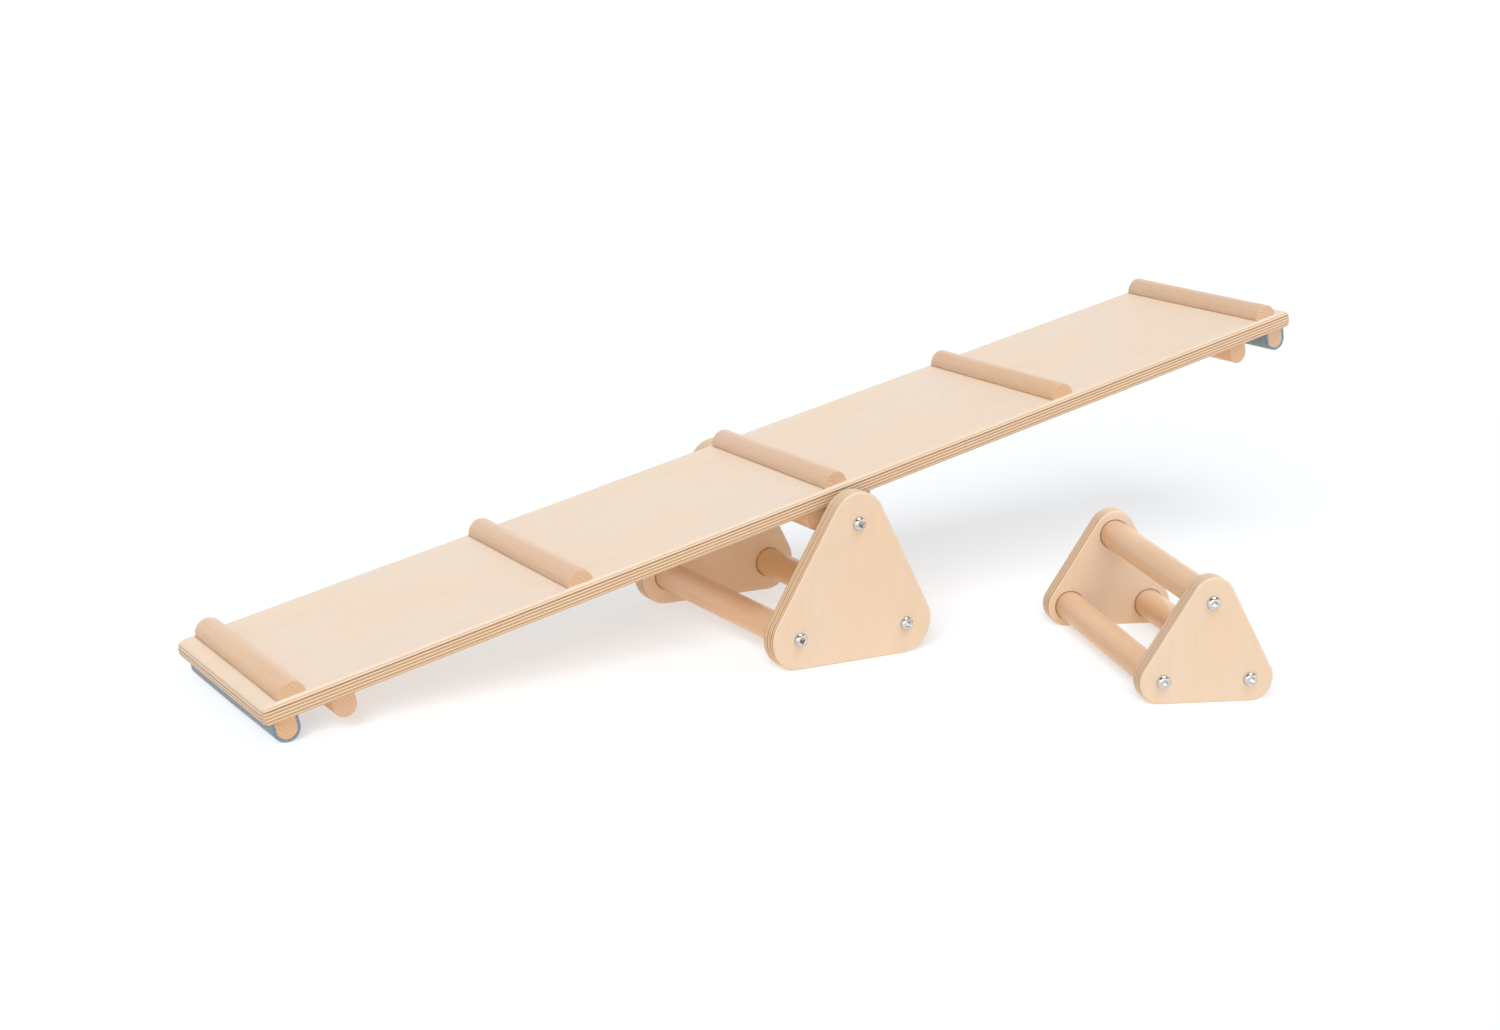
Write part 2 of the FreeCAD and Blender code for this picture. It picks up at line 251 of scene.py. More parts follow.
# Steamed beech, turned or moulded and clear lacquered: smooth pinkish tan, calm rings along the piece, dense
# short ray flecks, and rings that show a little more on the sawn ends. Fibres run along Y in every piece.
beech = {
    # the pink and the straw tone that each body's wood runs between; the stands' dowels are a little paler, which
    # is painted light: it brightens them where the lamps leave them too dark, under the plank and on the small
    # stand
    "tones": {"plank": ("#E6C6AC", "#E5C3A0"), "big_stand": ("#EFD1B3", "#EDCDA6"),
              "small_stand": ("#ECCDB1", "#EBCAA7")},
    "late": "#BC8A5E",
    "fleck": "#B68558",
    "ringSpacing": 2.8,       # mm
    "ringAcross": (0.6, 0.0, 0.8),    # direction in which the rings follow each other
    "ringWander": 9.0,        # rings
    "ringFade": 2.0,          # a ring darkens towards its late wood by this power
    "ringAmount": (0.12, 0.42),       # along the piece, on its ends
    "endFrom": (0.6, 1.0),    # where the side turns into the end, by how squarely it looks along the piece
    "streakAmount": 0.14,
    "hueSize": (260.0, 700.0),        # mm across and along the fibres, like the sizes below
    "hueSpan": (0.4, 0.6),
    "wanderSize": (30.0, 330.0),
    "streakSize": (0.9, 70.0),
    "fleckSize": (0.35, 2.8),         # a little coarser than real so that it shows
    "fleckSpan": (0.62, 0.74),
    "fleckAmount": 0.22,
    "roughness": (0.34, 0.46),
    "relief": 0.18,
    "reliefDepth": 0.08 * mm,
    "coat": 0.15,
    "coatRoughness": 0.25,
}


def beechMaterial(name, body, shift):
    # shift moves the grain, so that each body is cut from other wood
    cfg = beech
    material, tree = newTree(name)
    place, normal = homeSpace(tree, body)
    facing = addNode(tree, "ShaderNodeSeparateXYZ", inputs=[normal]).outputs
    moved = addNode(tree, "ShaderNodeMapping", inputs={
        "Vector": place, "Location": (shift, shift / 2, shift / 3)})

    views = [addNode(tree, "ShaderNodeMapping", inputs={"Vector": moved, "Scale": grainScale(1, cfg[size])})
             for size in ("hueSize", "wanderSize", "streakSize", "fleckSize")]
    hue, wander, streak, dash = [addNode(tree, "ShaderNodeTexNoise", inputs={
        "Vector": view, "Scale": 1.0, "Detail": detail}) for view, detail in zip(views, (1.0, 2.0, 3.0, 0.0))]
    hueAmount = addNode(tree, "ShaderNodeMapRange", inputs=[hue, *cfg["hueSpan"]])
    colour = addNode(tree, "ShaderNodeMix", {"data_type": "RGBA"}, [hueAmount, *cfg["tones"][body]])

    perRing = [share / cfg["ringSpacing"] for share in cfg["ringAcross"]]
    slant = addNode(tree, "ShaderNodeVectorMath", {"operation": "DOT_PRODUCT"}, [moved, perRing])
    phase = addNode(tree, "ShaderNodeMath", {"operation": "MULTIPLY_ADD"}, [wander, cfg["ringWander"], slant])
    within = addNode(tree, "ShaderNodeMath", {"operation": "FRACT"}, [phase])
    late = addNode(tree, "ShaderNodeMath", {"operation": "POWER"}, [within, cfg["ringFade"]])
    ringAmount = addNode(tree, "ShaderNodeMapRange",
                         inputs=[facing["Y"], *cfg["endFrom"], *cfg["ringAmount"]])
    ring = addNode(tree, "ShaderNodeMath", {"operation": "MULTIPLY"}, [late, ringAmount])
    tone = addNode(tree, "ShaderNodeMath", {"operation": "MULTIPLY_ADD"}, [streak, cfg["streakAmount"], ring])
    colour = addNode(tree, "ShaderNodeMix", {"data_type": "RGBA"}, [tone, colour, cfg["late"]])
    fleck = addNode(tree, "ShaderNodeMapRange", inputs=[dash, *cfg["fleckSpan"], 0.0, cfg["fleckAmount"]])
    colour = addNode(tree, "ShaderNodeMix", {"data_type": "RGBA"}, [fleck, colour, cfg["fleck"]])

    dull = addNode(tree, "ShaderNodeMapRange", inputs=[streak, *noiseSpan, *cfg["roughness"]])
    relief = addNode(tree, "ShaderNodeBump", inputs={
        "Strength": cfg["relief"], "Distance": cfg["reliefDepth"], "Height": tone})
    shader = addNode(tree, "ShaderNodeBsdfPrincipled", inputs={
        "Base Color": colour, "Roughness": dull, "Normal": relief, "IOR": lacquerIor,
        "Coat Weight": cfg["coat"], "Coat Roughness": cfg["coatRoughness"]})
    addNode(tree, "ShaderNodeOutputMaterial", inputs={"Surface": shader})
    return material


# Pressed wool felt: matt grey-blue, with matted clumps and a light bloom of fibres.
felt = {
    "tones": [(0.32, "#587896"), (0.5, "#7B9CBA"), (0.72, "#A0BBD3")],
    "clump": 2.4,             # mm
    "clumpShare": 0.4,        # of the pattern, the rest is single fibres
    "fibre": 0.35,            # mm, coarser than real wool so that it shows
    "relief": 0.6,
    "reliefDepth": 0.3 * mm,
    "bloom": 0.35,
}


def feltMaterial(name, body):
    cfg = felt
    material, tree = newTree(name)
    place, _ = homeSpace(tree, body)
    clump = addNode(tree, "ShaderNodeTexNoise", inputs={
        "Vector": place, "Scale": 1 / cfg["clump"], "Detail": 2.0})
    fibre = addNode(tree, "ShaderNodeTexNoise", inputs={
        "Vector": place, "Scale": 1 / cfg["fibre"], "Detail": 2.0, "Roughness": 0.7, "Distortion": 2.0})
    tone = addNode(tree, "ShaderNodeMix", {"data_type": "FLOAT"}, [cfg["clumpShare"], fibre, clump])
    colour = addNode(tree, "ShaderNodeValToRGB", {"stops": cfg["tones"]}, [tone])
    relief = addNode(tree, "ShaderNodeBump", inputs={
        "Strength": cfg["relief"], "Distance": cfg["reliefDepth"], "Height": tone})
    shader = addNode(tree, "ShaderNodeBsdfPrincipled", inputs={
        "Base Color": colour, "Normal": relief, "Roughness": 0.95, "Specular IOR Level": 0.2,
        "Sheen Weight": cfg["bloom"], "Sheen Roughness": 0.5})
    addNode(tree, "ShaderNodeOutputMaterial", inputs={"Surface": shader})
    return material


# Bright nickel plate on turned steel: a clean silvery mirror, hardly mottled. Zinc plate: greyer and duller.
# The mottle's size is in mm.
metals = {
    "nickel": {"tones": [(0.35, "#C9C6C4"), (0.65, "#D8D5D2")], "roughness": (0.10, 0.17), "mottle": 3.0},
    "zinc": {"tones": [(0.35, "#A6A9AC"), (0.65, "#C4C6C8")], "roughness": (0.30, 0.42), "mottle": 1.2},
}


def metalMaterial(name, body, kind):
    cfg = metals[kind]
    material, tree = newTree(name)
    place, _ = homeSpace(tree, body)
    mottle = addNode(tree, "ShaderNodeTexNoise", inputs={
        "Vector": place, "Scale": 1 / cfg["mottle"], "Detail": 2.0})
    colour = addNode(tree, "ShaderNodeValToRGB", {"stops": cfg["tones"]}, [mottle])
    dull = addNode(tree, "ShaderNodeMapRange", inputs=[mottle, *noiseSpan, *cfg["roughness"]])
    shader = addNode(tree, "ShaderNodeBsdfPrincipled", inputs={
        "Base Color": colour, "Roughness": dull, "Metallic": 1.0})
    addNode(tree, "ShaderNodeOutputMaterial", inputs={"Surface": shader})
    return material


boardLow, boardHigh = [corner / mm for corner in levelBox("plank", "plank_board")]
plateLow, plateHigh = [corner / mm for corner in levelBox("big_stand", "big_plate_far")]
boardThick, plateThick = boardHigh.z - boardLow.z, plateHigh.y - plateLow.y
finishes = {
    "plankPly": plywoodMaterial("birchPlywoodPlank", "plank", "plankCut", 2, 0, boardLow.z, boardThick),
    "bigPly": plywoodMaterial("birchPlywoodBigStand", "big_stand", "plateCut", 1, 2, plateLow.y, plateThick),
    "smallPly": plywoodMaterial("birchPlywoodSmallStand", "small_stand", "plateCut", 1, 2, plateLow.y,
                                plateThick),
    "plankBeech": beechMaterial("beechPlank", "plank", 0.0),
    "bigBeech": beechMaterial("beechBigStand", "big_stand", 410.0),
    "smallBeech": beechMaterial("beechSmallStand", "small_stand", 930.0),
    "felt": feltMaterial("woolFelt", "plank"),
    "nickel": metalMaterial("nickelPlate", "big_stand", "nickel"),
    "zinc": metalMaterial("zincPlate", "big_stand", "zinc"),
}
print("finishes ready:", len(finishes))


def meshFrom(bm, name):
    bmesh.ops.remove_doubles(bm, verts=bm.verts, dist=1e-7)
    bmesh.ops.recalc_face_normals(bm, faces=bm.faces)
    mesh = bpy.data.meshes.new(name)
    bm.to_mesh(mesh)
    bm.free()
    return mesh


def looseObject(mesh):
    piece = bpy.data.objects.new(mesh.name, mesh)
    bpy.context.scene.collection.objects.link(piece)
    return piece


def applied(piece):
    # the object with its modifiers turned into plain mesh
    evaluated = piece.evaluated_get(bpy.context.evaluated_depsgraph_get())
    mesh = bpy.data.meshes.new_from_object(evaluated)
    piece.modifiers.clear()
    piece.data = mesh
    return piece


def cutFrom(piece, cutterMesh):
    cutter = looseObject(cutterMesh)
    modifier = piece.modifiers.new("cut", "BOOLEAN")
    modifier.operation, modifier.solver, modifier.object = "DIFFERENCE", "EXACT", cutter
    modifier.use_self = True                   # cutters may cross each other
    applied(piece)
    bpy.data.objects.remove(cutter)
    return piece


def finishPiece(piece, body, nodes, finish, sharpAngle=35):
    # sends the level mesh to its place, shades it and hands it to its body
    mesh = piece.data
    mesh.transform(homes[body])
    mesh.shade_smooth()
    mesh.set_sharp_from_angle(angle=math.radians(sharpAngle))
    mesh.materials.clear()
    mesh.materials.append(finishes[finish])
    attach(piece, body)
    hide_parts(*nodes)
    return piece


def pieceName(node):
    first, *rest = node.split("_")
    return first + "".join(word.capitalize() for word in rest)


def loft(rings, name):
    # closed skin through rings of equally many points, with flat ends
    bm = bmesh.new()
    loops = [[bm.verts.new(point) for point in ring] for ring in rings]
    for low, high in zip(loops, loops[1:]):
        for i in range(len(low)):
            j = (i + 1) % len(low)
            bm.faces.new((low[i], low[j], high[j], high[i]))
    bm.faces.new(loops[0])
    bm.faces.new(loops[-1])
    return meshFrom(bm, name)


def easedEnds(length, ease, steps):
    # (inset, distance along) from end to end of a piece whose end faces have rounded edges
    turns = [math.pi / 2 * step / steps for step in range(steps + 1)]
    start = [(ease + rim, 0.0)] + [(ease * (1 - math.sin(t)), ease * (1 - math.cos(t))) for t in turns]
    return start + [(inset, length - along) for inset, along in reversed(start)]


def cylinders(specs, sides, name):
    # rods or cones as cutters: (start, end, start radius, end radius)
    bm = bmesh.new()
    for start, end, startRadius, endRadius in specs:
        axis = Vector(end) - Vector(start)
        turn = axis.to_track_quat("Z", "Y").to_matrix().to_4x4()
        middle = Matrix.Translation((Vector(start) + Vector(end)) / 2)
        bmesh.ops.create_cone(bm, cap_ends=True, segments=sides, radius1=startRadius, radius2=endRadius,
                              depth=axis.length, matrix=middle @ turn)
    return meshFrom(bm, name)


def cornerOutline(centres, radius, steps):
    # equal arcs round the corner centres, anticlockwise from the lower right one
    sweep = 2 * math.pi / len(centres)
    points = []
    for number, (a, b) in enumerate(centres):
        for step in range(steps + 1):
            angle = -math.pi / 2 + sweep * (number + step / steps)
            points.append((a + radius * math.cos(angle), b + radius * math.sin(angle)))
    return points


def setOnPointsTree():
    # a shape on each point, its own Z along the point's aim, turned about it by a random share of Spin
    tree = bpy.data.node_groups.new("setOnPoints", "GeometryNodeTree")
    tree.is_modifier = True
    for name, kind in (("Points", "Geometry"), ("Shape", "Object"), ("Spin", "Float"), ("Seed", "Int"),
                       ("Finish", "Material")):
        tree.interface.new_socket(name, in_out="INPUT", socket_type="NodeSocket" + kind)
    tree.interface.new_socket("Set", in_out="OUTPUT", socket_type="NodeSocketGeometry")
    given = addNode(tree, "NodeGroupInput").outputs
    aim = addNode(tree, "GeometryNodeInputNamedAttribute", {"data_type": "FLOAT_VECTOR"}, {"Name": "aim"})
    facing = addNode(tree, "FunctionNodeAlignRotationToVector", {"axis": "Z"}, {"Vector": aim})
    angle = addNode(tree, "FunctionNodeRandomValue", {"data_type": "FLOAT"},
                    {"Max": given["Spin"], "Seed": given["Seed"]})
    spin = addNode(tree, "FunctionNodeAxisAngleToRotation", inputs={"Axis": (0, 0, 1), "Angle": angle})
    turned = addNode(tree, "FunctionNodeRotateRotation", {"rotation_space": "LOCAL"}, [facing, spin])
    shape = addNode(tree, "GeometryNodeObjectInfo", inputs={"Object": given["Shape"]})
    placed = addNode(tree, "GeometryNodeInstanceOnPoints", inputs={
        "Points": given["Points"], "Instance": shape.outputs["Geometry"], "Rotation": turned})
    real = addNode(tree, "GeometryNodeRealizeInstances", inputs=[placed])
    painted = addNode(tree, "GeometryNodeSetMaterial", inputs={"Geometry": real, "Material": given["Finish"]})
    addNode(tree, "NodeGroupOutput", inputs=[painted])
    return tree


setOnPoints = setOnPointsTree()


def setShapes(name, shape, spots, body, nodes, finish, spin=0.0, seed=1):
    # copies of shape at (place, aim) spots in the body's home frame, as one mesh
    mesh = bpy.data.meshes.new(name)
    mesh.from_pydata([place for place, _ in spots], [], [])
    aim = mesh.attributes.new("aim", "FLOAT_VECTOR", "POINT")
    for item, (_, direction) in zip(aim.data, spots):
        item.vector = direction
    piece = looseObject(mesh)
    modifier = piece.modifiers.new("setOnPoints", "NODES")
    modifier.node_group = setOnPoints
    values = {"Shape": shape, "Spin": spin, "Seed": seed, "Finish": finishes[finish]}
    for item in setOnPoints.interface.items_tree:
        if item.name in values:
            modifier[item.identifier] = values[item.name]
    applied(piece)
    piece.data.name = name
    if "aim" in piece.data.attributes:
        piece.data.attributes.remove(piece.data.attributes["aim"])
    bpy.data.objects.remove(shape)
    return finishPiece(piece, body, nodes, finish)


plank = {
    "cornerRound": 6 * mm,
    "edgeRound": 4 * mm,
    "endRound": 8.5 * mm,     # the short ends are nearly half-round
    "endCorner": 1.7 * mm,    # upright corner's radius left where an end's rounding meets the flat faces
    "edgeSteps": 14,
    "cornerSteps": 8,
    "screwInset": 48 * mm,    # from the long edges
    "sinkRadius": 3.95 * mm,
    "sinkFootRadius": 2 * mm,
    "sinkStart": 0.1 * mm,    # outside the underside
    "sinkDepth": 2.2 * mm,
    "feltGap": 4.3 * mm,      # from the end batten's felt to the outer rungs' screws
}
sides = ("left", "right")
rungNodes = ["rung_%d" % number for number in range(1, 6)]
screwYs = [side * (levelBox("plank", "plank_board")[1].y - plank["screwInset"]) for side in (-1, 1)]


def rungScrewSpots():
    # under each rung's middle, the outer ones just inboard of the felt
    limit = levelBox("plank", "felt_right")[0].x - plank["feltGap"]
    floor = levelBox("plank", "plank_board")[0].z
    middles = [sum(levelBox("plank", node), Vector()).x / 2 for node in rungNodes]
    return [(math.copysign(min(abs(x), limit), x), y, floor) for x in middles for y in screwYs]


def roundedInset(radius, fromFace):
    # how far a rounded edge lies inside its side at a distance from the flat face
    return radius - math.sqrt(max(radius ** 2 - (radius - fromFace) ** 2, 0)) if fromFace < radius else 0.0


def makePlank():
    cfg = plank
    low, high = levelBox("plank", "plank_board")
    thickness, halfLength, halfWidth = high.z - low.z, (high.x - low.x) / 2, (high.y - low.y) / 2
    turns = [math.pi / 2 * step / cfg["edgeSteps"] for step in range(cfg["edgeSteps"] + 1)]
    rises = [0.0] + [cfg["endRound"] * (1 - math.cos(turn)) for turn in turns]
    rises += [thickness - rise for rise in reversed(rises)]
    rings = []
    for number, rise in enumerate(rises):
        strip = rim if number in (0, len(rises) - 1) else 0.0
        fromFace = min(rise, thickness - rise)
        endInset, sideInset = [roundedInset(cfg[name], fromFace) + strip
                               for name in ("endRound", "edgeRound")]
        corner = cfg["cornerRound"] + (cfg["endCorner"] - cfg["cornerRound"]) * endInset / cfg["endRound"]
        reach, spread = halfLength - endInset - corner, halfWidth - sideInset - corner
        centres = [(reach, -spread), (reach, spread), (-reach, spread), (-reach, -spread)]
        rings.append([(a, b, low.z + rise) for a, b in cornerOutline(centres, corner, cfg["cornerSteps"])])
    piece = looseObject(loft(rings, "plankBoard"))
    sinks = [((x, y, z - cfg["sinkStart"]), (x, y, z + cfg["sinkDepth"]), cfg["sinkRadius"],
              cfg["sinkFootRadius"]) for x, y, z in rungScrewSpots()]
    cutFrom(piece, cylinders(sinks, drillSides, "sinks"))
    return finishPiece(piece, "plank", ["plank_board"], "plankPly")


makePlank()
print("plank made")


rung = {"endRound": 1.0 * mm, "footRound": 0.9 * mm, "arcSteps": 28, "endSteps": 4}


def makeRungs():
    # half-round bars, flat side down, with eased ends
    low, high = levelBox("plank", rungNodes[0])
    radius, length = (high.x - low.x) / 2, high.y - low.y
    foot = rung["footRound"] / radius
    turns = [foot + (math.pi - 2 * foot) * step / rung["arcSteps"] for step in range(rung["arcSteps"] + 1)]
    rings = []
    for inset, along in easedEnds(length, rung["endRound"], rung["endSteps"]):
        reach, y = radius - inset, along - length / 2
        tuck = reach - rung["footRound"]
        arc = [(reach * math.cos(turn), y, reach * math.sin(turn)) for turn in turns]
        rings.append([(tuck, y, 0.0)] + arc + [(-tuck, y, 0.0)])
    spots = []
    for node in rungNodes:
        nodeLow, nodeHigh = levelBox("plank", node)
        spots.append((((nodeLow.x + nodeHigh.x) / 2, (nodeLow.y + nodeHigh.y) / 2, nodeLow.z), (0, 0, 1)))
    bar = looseObject(loft(rings, "rungBar"))
    return setShapes("rungs", bar, spots, "plank", rungNodes, "plankBeech")


makeRungs()
print("rungs made")


batten = {"endRound": 0.8 * mm, "arcSteps": 24, "endSteps": 4, "wellDepth": 3.0 * mm, "wellRadius": 3.85 * mm}


def makeBatten(node):
    # straight sides and a half-round bottom, hung from the plank, with two screw wells
    low, high = levelBox("plank", node)
    middle, halfWidth = (low.x + high.x) / 2, (high.x - low.x) / 2
    rings = []
    for inset, along in easedEnds(high.y - low.y, batten["endRound"], batten["endSteps"]):
        reach, y = halfWidth - inset, low.y + along
        ring = [(middle + reach, y, high.z)]
        for step in range(batten["arcSteps"] + 1):
            turn = -math.pi * step / batten["arcSteps"]
            ring.append((middle + reach * math.cos(turn), y, low.z + halfWidth + reach * math.sin(turn)))
        rings.append(ring + [(middle - reach, y, high.z)])
    piece = looseObject(loft(rings, pieceName(node)))
    wells = [((middle, y, low.z - overcut), (middle, y, low.z + batten["wellDepth"]), batten["wellRadius"],
              batten["wellRadius"]) for y in screwYs]
    cutFrom(piece, cylinders(wells, drillSides, "wells"))
    return finishPiece(piece, "plank", [node], "plankBeech")


battenNodes = ["%s_batten_%s" % (kind, side) for side in sides for kind in ("end", "hook", "cradle")]
for node in battenNodes:
    makeBatten(node)
print("battens made")


wrap = {
    "lengthSteps": 104,
    "arcSteps": 26,
    "sideSteps": 5,
    "sharpAngle": 50,
    "unevenness": 0.14 * mm,
    "lump": 3.5 * mm,
    "seed": 5,
    "slack": 1.4 * mm,        # how far it stands off the batten where it lies loosest
    "slackTurn": math.radians(-14),   # of that place, from the outward side downwards
    "slackPower": 4,          # how fast the slack fades away from that place
    "slackNear": 0.3,         # share of the slack at the near end
    "slackRise": 2,           # the full slack is reached at the length divided by this
}


def makeFelt(side):
    # a strip glued round three sides of the end batten, its outer face a little uneven
    outerLow, outerHigh = levelBox("plank", "felt_" + side)
    innerLow, innerHigh = levelBox("plank", "end_batten_" + side)
    middle, topZ = (outerLow.x + outerHigh.x) / 2, outerHigh.z
    outerRadius, innerRadius = (outerHigh.x - outerLow.x) / 2, (innerHigh.x - innerLow.x) / 2
    springZ = innerLow.z + innerRadius
    straight = topZ - springZ
    outward = math.copysign(1, middle)
    slackOut, slackDown = math.cos(wrap["slackTurn"]), math.sin(wrap["slackTurn"])
    noise.seed_set(wrap["seed"])

    # (sideways share, downward share, height) round the strip's section, for a radius to scale
    rises = [straight * step / wrap["sideSteps"] for step in range(1, wrap["sideSteps"] + 1)]
    turns = [-math.pi * step / wrap["arcSteps"] for step in range(wrap["arcSteps"] + 1)]
    section = ([(1.0, 0.0, springZ + rise) for rise in reversed(rises)]
               + [(math.cos(t), math.sin(t), springZ) for t in turns]
               + [(-1.0, 0.0, springZ + rise) for rise in rises])
    rings = []
    for step in range(wrap["lengthSteps"] + 1):
        y = outerLow.y + (outerHigh.y - outerLow.y) * step / wrap["lengthSteps"]
        towardsFar = min(wrap["slackRise"] * step / wrap["lengthSteps"], 1)
        share = wrap["slackNear"] + (1 - wrap["slackNear"]) * towardsFar
        outer = []
        for out, down, z in section:
            spot = Vector((out * outerRadius, y, z + down * outerRadius)) / wrap["lump"]
            loose = max(outward * out * slackOut + down * slackDown, 0) ** wrap["slackPower"] * share
            radius = outerRadius - wrap["unevenness"] * (noise.noise(spot) / 2 + 0.5) + wrap["slack"] * loose
            outer.append((middle + out * radius, y, z + down * radius))
        inner = [(middle + out * innerRadius, y, z + down * innerRadius)
                 for out, down, z in reversed(section)]
        rings.append(outer + inner)
    piece = looseObject(loft(rings, pieceName("felt_" + side)))
    finishPiece(piece, "plank", ["felt_" + side], "felt", wrap["sharpAngle"])


for side in sides:
    makeFelt(side)
print("felt made")


stand = {
    "edgeRound": 2 * mm,
    "pocketDepth": 3 * mm,
    "pocketClear": 0.8 * mm,
    "boltHole": 4.25 * mm,    # radius
    "dowelEase": 0.7 * mm,
    "dowelEaseSteps": 4,
    "dowelSides": 72,
    "edgeSteps": 8,
    "arcSteps": 28,
}


def dowelNodes(body):
    top = {"big_stand": "big_pivot_dowel", "small_stand": "small_top_dowel"}[body]
    short = body.split("_")[0]
    return [short + "_base_dowel_right", top, short + "_base_dowel_left"]


def dowelAxes(body):
    # (x, z) of a stand's three dowels
    boxes = [levelBox(body, node) for node in dowelNodes(body)]
    return [((low.x + high.x) / 2, (low.z + high.z) / 2) for low, high in boxes]


def makePlate(body, end):
    # rounded equilateral triangle, drilled for the bolts, with a shallow pocket for each dowel's end
    node = "%s_plate_%s" % (body.split("_")[0], end)
    low, high = levelBox(body, node)
    dowelLow, dowelHigh = levelBox(body, dowelNodes(body)[0])
    rise = math.sqrt(3) / 2
    width, height = high.x - low.x, high.z - low.z
    radius = (height - width * rise) / (2 - 2 * rise)
    spacing = width - 2 * radius
    centres = [(spacing / 2, radius), (0.0, radius + spacing * rise), (-spacing / 2, radius)]
    rings = [[(x, low.y + along, z) for x, z in cornerOutline(centres, radius - inset, stand["arcSteps"])]
             for inset, along in easedEnds(high.y - low.y, stand["edgeRound"], stand["edgeSteps"])]
    piece = looseObject(loft(rings, pieceName(node)))
    innerY, inward = (high.y, 1) if end == "near" else (low.y, -1)
    pocket = (dowelHigh.x - dowelLow.x) / 2 + stand["pocketClear"]
    pockets = [((x, innerY + inward * overcut, z), (x, innerY - inward * stand["pocketDepth"], z),
                pocket, pocket) for x, z in dowelAxes(body)]
    holes = [((x, low.y - overcut, z), (x, high.y + overcut, z), stand["boltHole"], stand["boltHole"])
             for x, z in dowelAxes(body)]
    cutFrom(piece, cylinders(pockets, stand["dowelSides"], "pockets"))
    cutFrom(piece, cylinders(holes, drillSides, "holes"))
    return finishPiece(piece, body, [node], body.split("_")[0] + "Ply")


def makeDowels(body):
    low, high = levelBox(body, dowelNodes(body)[0])
    radius, length = (high.x - low.x) / 2, high.y - low.y
    turns = [math.tau * step / stand["dowelSides"] for step in range(stand["dowelSides"])]
    rings = []
    for inset, along in easedEnds(length, stand["dowelEase"], stand["dowelEaseSteps"]):
        reach, z = radius - inset, along - length / 2
        rings.append([(reach * math.cos(turn), reach * math.sin(turn), z) for turn in turns])
    rod = looseObject(loft(rings, "rod"))
    spots = [((x, 0.0, z), (0, 1, 0)) for x, z in dowelAxes(body)]
    short = body.split("_")[0]
    return setShapes(short + "Dowels", rod, spots, body, dowelNodes(body), short + "Beech")


for body in ("big_stand", "small_stand"):
    for end in ("near", "far"):
        makePlate(body, end)
    makeDowels(body)
print("stands made")


def lathe(profile, sides, name):
    # solid of revolution about Z from (radius, z) points that start and end on the axis
    bm = bmesh.new()
    turns = [math.tau * step / sides for step in range(sides)]
    rings = [[bm.verts.new((radius * math.cos(turn), radius * math.sin(turn), z))
              for turn in (turns if radius else turns[:1])] for radius, z in profile]
    for low, high in zip(rings, rings[1:]):
        for i in range(sides):
            corners = [low[i % len(low)], low[(i + 1) % sides % len(low)],
                       high[(i + 1) % sides % len(high)], high[i % len(high)]]
            unique = list(dict.fromkeys(corners))
            if len(unique) > 2:
                bm.faces.new(unique)
    return looseObject(meshFrom(bm, name))


bolt = {
    "headRadius": 7.0 * mm,
    "headHeight": 4.4 * mm,
    "rimHeight": 0.7 * mm,
    "rimEase": 0.2 * mm,
    "crownRadius": 3.5 * mm,
    "crownSteps": 10,
    "socketAcross": 5.4 * mm,
    "socketDepth": 4.0 * mm,
    "shankRadius": 4.0 * mm,
    "length": 30 * mm,
    "threadFrom": 16 * mm,
    "threadPitch": 1.25 * mm,
    "threadDepth": 0.5 * mm,
    "threadShares": (0.25, 0.75),     # of the pitch, where a ring starts to rise and where it is full
    "sides": 64,
    "socketTop": 1 * mm,      # how far the socket's cutter reaches above the head
    "chamferReach": 0.5 * mm, # below and above the head's top
    "chamferShares": (0.8, 1.25),     # the chamfer's radius there, as shares of the socket's
    "seed": 3,
}


def boltShape():
    # button head upwards, its seat at z = 0; the thread is drawn as close rings
    cfg = bolt
    shank, core = cfg["shankRadius"], cfg["shankRadius"] - cfg["threadDepth"]
    profile = [(0, -cfg["length"]), (core, -cfg["length"])]
    low, high = [share * cfg["threadPitch"] for share in cfg["threadShares"]]
    turnCount = int((cfg["length"] - cfg["threadFrom"]) / cfg["threadPitch"])
    for turn in range(turnCount):
        z = -cfg["length"] + turn * cfg["threadPitch"]
        profile += [(core, z + low), (shank, z + high)]
    head, top, ease = cfg["headRadius"], cfg["headHeight"], cfg["rimEase"]
    profile += [(shank, 0.0), (head - ease, 0.0), (head, ease)]
    for step in range(cfg["crownSteps"] + 1):
        turn = math.pi / 2 * step / cfg["crownSteps"]
        profile.append((cfg["crownRadius"] + (head - cfg["crownRadius"]) * math.cos(turn),
                        cfg["rimHeight"] + (top - cfg["rimHeight"]) * math.sin(turn)))
    piece = lathe(profile + [(0, top)], cfg["sides"], "boltShape")
    corner = cfg["socketAcross"] / math.sqrt(3)
    socket = ((0, 0, top - cfg["socketDepth"]), (0, 0, top + cfg["socketTop"]), corner, corner)
    cutFrom(piece, cylinders([socket], 6, "socket"))
    reach, (inner, outer) = cfg["chamferReach"], cfg["chamferShares"]
    chamfer = ((0, 0, top - reach), (0, 0, top + reach), corner * inner, corner * outer)
    return cutFrom(piece, cylinders([chamfer], cfg["sides"], "chamfer"))


for seed, body in enumerate(("big_stand", "small_stand"), start=bolt["seed"]):
    short = body.split("_")[0]
    face = levelBox(body, short + "_plate_far")[1].y
    spots = [((x, end * face, z), (0, end, 0)) for x, z in dowelAxes(body) for end in (-1, 1)]
    setShapes(short + "Bolts", boltShape(), spots, body, [short + "_bolts_near", short + "_bolts_far"],
              "nickel", math.tau, seed)


